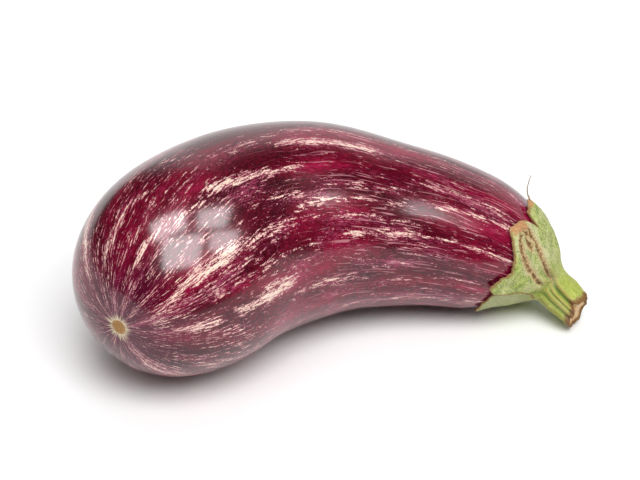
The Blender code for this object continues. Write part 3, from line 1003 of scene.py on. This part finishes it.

# %% [markdown]
# ## Leathery green rind, with scurf
# The calyx is a leathery rind with a mottled green, a grey-beige scurf of dead surface cells, brown in
# its cracks and along its dried margin, and orange tan at its blunt tip. The stalk is the same rind
# drawn out in yellow-green strands, with painted shade in its grooves. Both are rough, so they show only a
# faint broad sheen.


# %% Rind
def rind():
    """Green rind for the calyx and the stalk, with scurf, cracks and brown margins."""
    material, tree, shader = new_material("eggplant_calyx_rind")
    place = attribute(tree, "growth_place", "Vector")
    body = add_node(tree, "TexCoord").outputs["Object"]
    mottle = noise(tree, body, 2.6 * MM, 4.0, 0.62)
    fibre = noise(tree, place, (5 * MM, 0.7 * MM, 0.7 * MM), 3.0, 0.6)
    fleck = noise(tree, body, 0.6 * MM, 4.0, 0.75)
    green = ramp(tree, mottle, [(0.28, "#55661f"), (0.42, "#778737"), (0.55, "#94a24a"), (0.72, "#b0b96c")])
    strand = ramp(tree, fibre, [(0.3, "#7d8a2c"), (0.5, "#9ca743"), (0.7, "#b7bd63")])
    colour = blend(tree, attribute(tree, "stalky"), green, strand)
    colour = coat(tree, times(tree, step_between(tree, fibre, 0.60, 0.74), 0.35), colour, "#d2d9a0")

    # scurf: beige flecks that gather round the cracks, and then small dark green specks
    patch = noise(tree, body, 7 * MM, 2.0, 0.5)
    scurf = weighted(tree, patch, 0.35, fleck)
    scurf = weighted(tree, attribute(tree, "cracked"), 0.25, scurf)
    scurf = weighted(tree, attribute(tree, "stalky"), -0.06, scurf)
    scurf = step_between(tree, scurf, 0.665, 0.76)
    colour = coat(tree, times(tree, scurf, 0.8), colour, "#cbc49c")
    speck = noise(tree, body, 0.75 * MM, 2.0, 0.5)
    colour = coat(tree, times(tree, step_between(tree, speck, 0.60, 0.70), 0.5), colour, "#4f5e22")
    colour = coat(tree, times(tree, attribute(tree, "grey"), 0.6), colour, "#989b74")

    # strands of the stalk: ochre on the ridges, and painted shade in the grooves, darker green where a
    # groove is deeper
    colour = coat(tree, times(tree, attribute(tree, "ridge"), 0.75), colour, "#a98a4a")
    # painted shade: dark green laid into the grooves, strongest where a groove is deepest
    colour = coat(tree, times(tree, attribute(tree, "groove"), 0.9, True), colour, "#415a14")

    # brown where it dried
    ragged = noise(tree, body, 1.3 * MM, 3.0, 0.6)
    margin = attribute(tree, "from_margin")
    margin = weighted(tree, ragged, -1.6 * MM, margin)
    margin = step_between(tree, margin, -0.1 * MM, -0.75 * MM)
    colour = coat(tree, margin, colour, "#8a6a3a")
    dry = weighted(tree, ragged, 0.6, attribute(tree, "dry_tip"))
    dry = step_between(tree, dry, 0.68, 1.0)
    tan = ramp(tree, fleck, [(0.3, "#7d4e2a"), (0.5, "#b08050"), (0.75, "#d6b68c")])
    colour = blend(tree, dry, colour, tan)
    seam = times(tree, attribute(tree, "seam"), step_between(tree, ragged, 0.3, 0.5))
    colour = coat(tree, seam, colour, "#80552a")
    broken = noise(tree, body, 0.8 * MM, 3.0, 0.7)
    crack = weighted(tree, broken, 1.1, attribute(tree, "cracked"))
    lips = ramp(tree, fleck, [(0.35, "#9a7c50"), (0.6, "#c4ad80")])
    colour = blend(tree, step_between(tree, crack, 0.85, 1.2), colour, lips)
    core = ramp(tree, fleck, [(0.35, "#402910"), (0.6, "#7a5628")])
    colour = blend(tree, step_between(tree, crack, 1.34, 1.58), colour, core)

    # the snapped end: brown rim, then pale wood
    near = weighted(tree, ragged, 0.9, attribute(tree, "cut_near"))
    near = step_between(tree, near, 0.82, 1.3)
    colour = blend(tree, near, colour, ramp(tree, fleck, [(0.35, "#4f3218"), (0.6, "#8a6232")]))
    face = step_between(tree, attribute(tree, "cut_face"), 0.36, 0.5)
    colour = blend(tree, face, colour, ramp(tree, ragged, [(0.3, "#b98d58"), (0.6, "#e0c397")]))
    tree.links.new(colour, shader.inputs["Base Color"])
    shader.inputs["Roughness"].default_value = 0.6
    shader.inputs["IOR"].default_value = 1.45
    height = weighted(tree, fleck, 0.6, fibre)
    bump = add_node(tree, "Bump", Strength=0.6, Distance=0.25 * MM, Height=height)
    tree.links.new(bump.outputs[0], shader.inputs["Normal"])
    return material


rind_material = rind()
for piece, node, slot in ((calyx, "calyx", "calyx_green"), (stalk, "stalk", "stalk_green")):
    piece.data.materials.clear()
    piece.data.materials.append(rind_material)
    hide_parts(node)
    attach(piece, "root")

# %% [markdown]
# ## The dry fibre
# A hair of the uppermost sepal's edge, peeled and dried. A curve is drawn, given a round section that
# thins to its tip, and turned to a mesh.

# %% Draw the fibre
fibre_low, fibre_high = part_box("sepal_fibre")
FIBRE_RADIUS = 0.3 * MM
FIBRE_SIDE = Vector((0.927, -0.375, 0.0))
# share of the fibre's height, sway to FIBRE_SIDE in mm, thickness as a share
FIBRE_STOPS = ((-0.12, 0.7, 2.2), (0.0, 0.55, 1.6), (0.15, 0.1, 1.1), (0.3, -0.65, 0.9),
               (0.45, -0.95, 0.75), (0.6, -0.85, 0.7), (0.75, -0.5, 0.6), (0.88, -0.15, 0.55),
               (0.97, 0.0, 0.5), (1.0, -0.45, 0.35))


def draw_fibre():
    foot = (fibre_low + fibre_high) / 2
    rise = fibre_high.z - fibre_low.z
    data = bpy.data.curves.new("sepal_hair", "CURVE")
    data.dimensions = "3D"
    data.bevel_depth = FIBRE_RADIUS
    data.bevel_resolution = 3
    data.use_fill_caps = True
    line = data.splines.new("BEZIER")
    line.bezier_points.add(len(FIBRE_STOPS) - 1)
    for spot, (share, sway, thick) in zip(line.bezier_points, FIBRE_STOPS):
        spot.co = Vector((foot.x, foot.y, fibre_low.z + rise * share * 1.1)) + FIBRE_SIDE * sway * MM
        spot.handle_left_type = spot.handle_right_type = "AUTO"
        spot.radius = thick
    pick(put_in_scene("sepal_hair", data))
    bpy.ops.object.convert(target="MESH")
    hair = bpy.context.active_object
    hair.data.shade_smooth()
    return hair


def dry_fibre():
    material, tree, shader = new_material("dry_sepal_fibre")
    tint = noise(tree, add_node(tree, "TexCoord").outputs["Object"], 1.5 * MM, 2.0, 0.6)
    colour = ramp(tree, tint, [(0.3, "#6d5a3c"), (0.55, "#978462"), (0.75, "#b9a98a")])
    tree.links.new(colour, shader.inputs["Base Color"])
    shader.inputs["Roughness"].default_value = 0.7
    return material


hair = draw_fibre()
hair.data.materials.append(dry_fibre())
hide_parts("sepal_fibre")
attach(hair, "root")

# %% [markdown]
# ## Floor, light and camera
# A white sweep of paper, evenly lit, so that it reflects in the lower skin as a pale veil. The light
# is one broad soft sky with a gentle main direction, and a window of four panes that shows as the
# only clear highlight. In front and above, the room is dark, which keeps the skin's colour deep.

# %% White paper floor
def paper_floor():
    bpy.ops.object.select_all(action="DESELECT")
    bpy.ops.mesh.primitive_plane_add(size=30.0, location=(0, 0, -0.02 * MM))
    floor = bpy.context.active_object
    floor.name = "paper_floor"
    material, tree, shader = new_material("matt_white_paper")
    shader.inputs["Base Color"].default_value = paint("#f4f4f4")
    shader.inputs["Roughness"].default_value = 0.9
    shader.inputs["Specular IOR Level"].default_value = 0.1
    floor.data.materials.append(material)


paper_floor()


CLOTH_SIZE = 20.0
CLOTH_STARTS = 0.42


def dark_cloth():
    """A black cloth over the paper in front, out of view, that only the wax mirrors."""
    bpy.ops.object.select_all(action="DESELECT")
    middle = (0, -CLOTH_SIZE / 2 - CLOTH_STARTS, 1 * MM)
    bpy.ops.mesh.primitive_plane_add(size=CLOTH_SIZE, location=middle)
    cloth = bpy.context.active_object
    cloth.name = "dark_cloth"
    material, tree, shader = new_material("black_felt")
    shader.inputs["Base Color"].default_value = paint("#050505")
    shader.inputs["Roughness"].default_value = 1.0
    shader.inputs["Specular IOR Level"].default_value = 0.0
    cloth.data.materials.append(material)
    cloth.visible_camera = cloth.visible_diffuse = cloth.visible_shadow = False
    cloth.visible_transmission = False


dark_cloth()


# %% Lights
def aim(lamp, place, target):
    """Stand a lamp or a camera at a place and turn it to a target."""
    lamp.location = place
    lamp.rotation_euler = (Vector(target) - Vector(place)).to_track_quat("-Z", "Y").to_euler()


def direction_to(azimuth, elevation):
    """The direction to a place in the room. Azimuth 0 is in front of the object's -Y side."""
    a, e = math.radians(azimuth), math.radians(elevation)
    return Vector((math.sin(a) * math.cos(e), -math.cos(a) * math.cos(e), math.sin(e)))


def soft_sun(name, azimuth, elevation, spread, strength):
    """A distant soft light that leaves no highlight."""
    data = bpy.data.lights.new(name, "SUN")
    data.energy = strength
    data.angle = math.radians(spread)
    lamp = put_in_scene(name, data)
    aim(lamp, direction_to(azimuth, elevation), (0, 0, 0))
    lamp.visible_glossy = False


# azimuth, elevation and spread in degrees, and the share of the light on an open floor that each gives
SOFT_LIGHTS = (("main_light", 0, 60, 35, 0.64), ("left_light", -40, 58, 40, 0.31),
               ("right_light", 40, 36, 40, 0.24), ("back_light", 155, 60, 40, 0.19),
               ("top_light", 0, 88, 50, 0.13))
for name, azimuth, elevation, spread, share_of_light in SOFT_LIGHTS:
    soft_sun(name, azimuth, elevation, spread, share_of_light * math.pi)


# azimuth and elevation at which each pane stands as seen from the fruit, in degrees, then its width
# and height at a distance of 0.8 m, in metres
PANES = ((-97, 79, 0.46, 0.33), (77, 62, 0.34, 0.28), (-9, 56, 0.60, 0.50), (49, 42, 0.32, 0.27))
WINDOW_DISTANCE = 0.22
PANE_GLOW = 10.0


def window_panes():
    """Four panes of a window over the fat end, that only the skin's wax mirrors."""
    seen_from = Vector((-60 * MM, -35 * MM, 75 * MM))
    sill = Vector((0.56, -0.05, -0.16))
    for count, (azimuth, elevation, width, height) in enumerate(PANES, 1):
        towards_pane = direction_to(azimuth, elevation)
        across = (sill - towards_pane * sill.dot(towards_pane)).normalized()
        data = bpy.data.lights.new(f"window_pane_{count}", "AREA")
        data.shape = "RECTANGLE"
        data.size, data.size_y = width * WINDOW_DISTANCE / 0.8, height * WINDOW_DISTANCE / 0.8
        data.energy = PANE_GLOW * math.pi * data.size * data.size_y
        lamp = put_in_scene(data.name, data)
        turned = Matrix((across, towards_pane.cross(across), towards_pane)).transposed()
        lamp.matrix_world = Matrix.Translation(seen_from + towards_pane * WINDOW_DISTANCE) @ turned.to_4x4()
        lamp.visible_camera = False
        lamp.visible_diffuse = False


window_panes()


# %% The room
def room():
    """White to the camera, nearly dark for light, and a low glow behind the stalk that the wax mirrors."""
    world = bpy.data.worlds.new("studio")
    bpy.context.scene.world = world
    world.use_nodes = True
    tree = world.node_tree
    tree.nodes.clear()
    ray = add_node(tree, "LightPath")
    spot = add_node(tree, "TexCoord").outputs["Generated"]
    parts = add_node(tree, "SeparateXYZ", Vector=spot)
    side = times(tree, parts.outputs["X"], 0.77)
    behind = step_between(tree, weighted(tree, parts.outputs["Y"], 0.64, side), 0.58, 0.82)
    low = step_between(tree, parts.outputs["Z"], 0.72, 0.50)
    glow = times(tree, behind, low)
    mirrored = times(tree, ray.outputs["Is Glossy Ray"], glow)
    seen = weighted(tree, ray.outputs["Is Camera Ray"], 1.0, mirrored)
    sky = add_node(tree, "Background", Color=(1, 1, 1, 1), Strength=weighted(tree, seen, 1.0, 0.03))
    add_node(tree, "OutputWorld", Surface=sky.outputs[0])


room()

# %% Camera
CAMERA_AZIMUTH = -22.0
CAMERA_ELEVATION = 35.0
CAMERA_DISTANCE = 1.0
CAMERA_LENS = 136.0
CAMERA_TARGET = Vector((fruit_low.x + 110.1 * MM, fruit_low.y + 59.4 * MM, 30 * MM))


def camera():
    data = bpy.data.cameras.new("camera")
    data.sensor_width = 36.0
    data.lens = CAMERA_LENS
    cam = put_in_scene("camera", data)
    back = direction_to(CAMERA_AZIMUTH, CAMERA_ELEVATION)
    aim(cam, CAMERA_TARGET + back * CAMERA_DISTANCE, CAMERA_TARGET)
    bpy.context.scene.camera = cam


camera()
bpy.context.scene.view_settings.view_transform = "Standard"
bpy.data.objects.remove(bending_curve, do_unlink=True)
